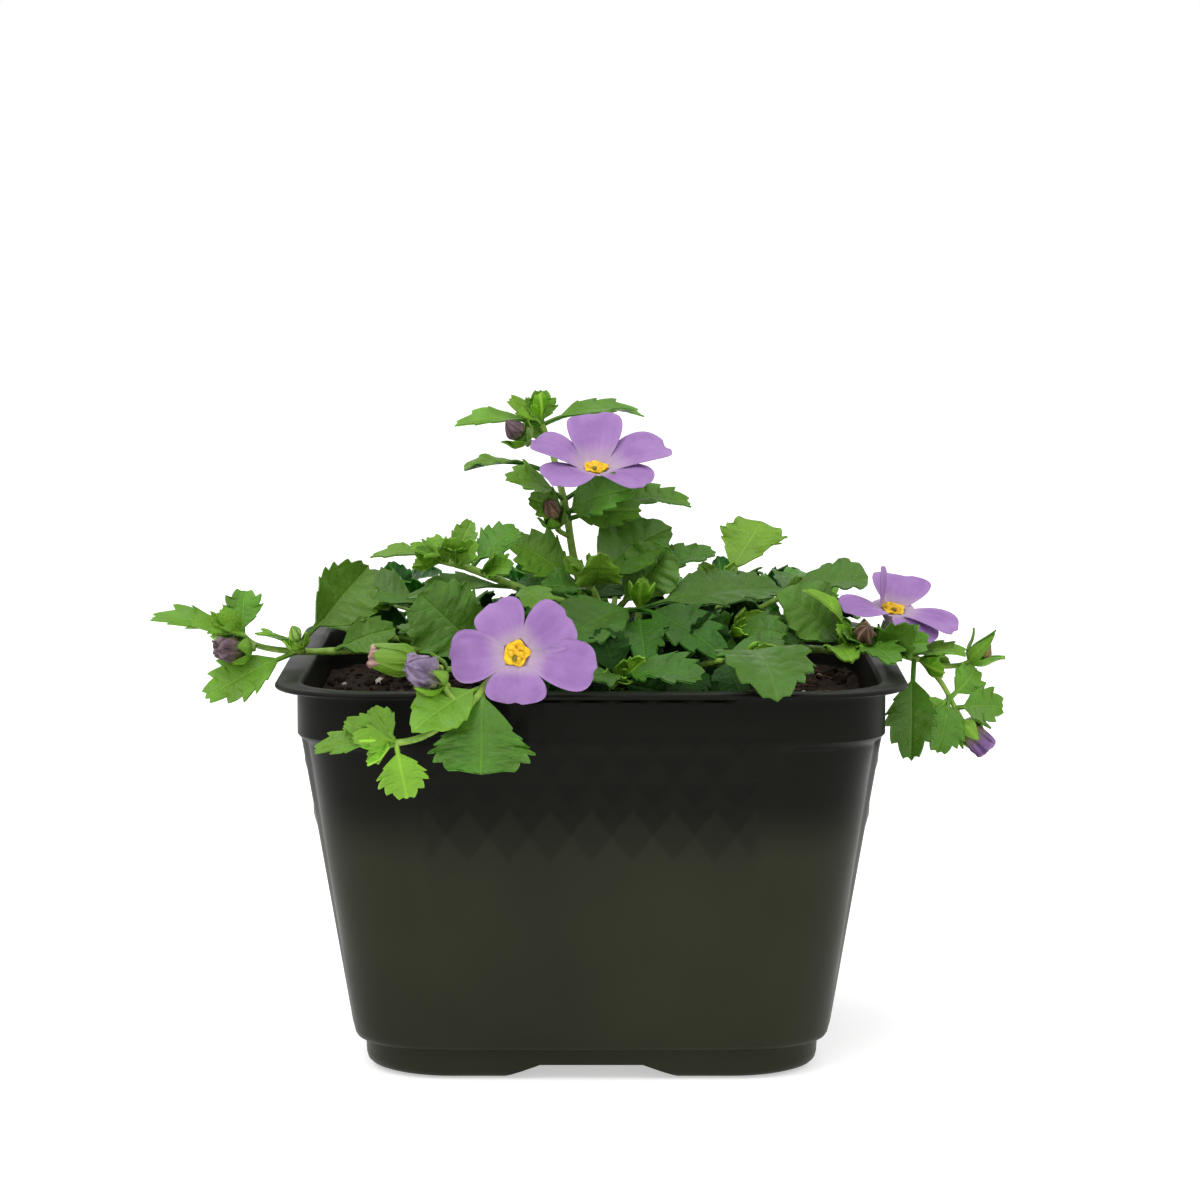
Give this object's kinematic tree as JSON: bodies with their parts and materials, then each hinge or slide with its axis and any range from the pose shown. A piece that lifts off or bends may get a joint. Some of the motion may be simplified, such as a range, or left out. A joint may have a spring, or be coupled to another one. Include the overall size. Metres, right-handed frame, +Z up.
{
  "type": "potted plant",
  "caption": "Bacopa plant with lilac five-petalled blooms, buds and toothed leaves in a square dark nursery pot filled with soil.",
  "frame": {"origin": "middle of the pot's foot, on the surface it stands on", "axes": "+Z up, +X to the right and -Y towards the camera of the picture"},
  "size_m": [0.1522, 0.1353, 0.1181],
  "materials": {
    "pot_plastic": "glossy dark olive-black thermoformed sheet",
    "soil": "rough, crumbly, dark brown potting soil",
    "greenery": "soft satin leaf green",
    "petal": "matt lilac",
    "eye": "matt yellow",
    "bud": "matt greyish purple",
    "withered": "dry, matt brown"
  },
  "bodies": {
    "root": {"pot": "pot_plastic", "soil": "soil", "stem_upright": "greenery", "bloom_top_petals": "petal", "bloom_top_eye": "eye", "bud_top": "bud", "bud_upright": "withered", "stem_centre": "greenery", "stem_upper_left": "greenery", "stem_left": "greenery", "bud_left": "bud", "bud_left_small": "greenery", "stem_left_back": "greenery", "stem_front_left": "greenery", "bud_front_calyx": "bud", "bud_front_purple": "bud", "stem_front_bloom": "greenery", "bloom_front_petals": "petal", "bloom_front_eye": "eye", "stem_front_mid": "greenery", "stem_front_right": "greenery", "stem_right": "greenery", "bloom_right_petals": "petal", "bloom_right_eye": "eye", "bud_right": "withered", "bud_right_spiky": "greenery", "bud_right_purple": "bud", "stem_front_low": "greenery", "stem_right_round": "greenery", "stem_right_back": "greenery", "stem_right_mid": "greenery", "stem_back_left": "greenery", "stem_back_mid": "greenery", "stem_back_right": "greenery", "stem_back_short": "greenery", "stem_side_left": "greenery", "stem_side_right": "greenery"}
  },
  "joints": []
}
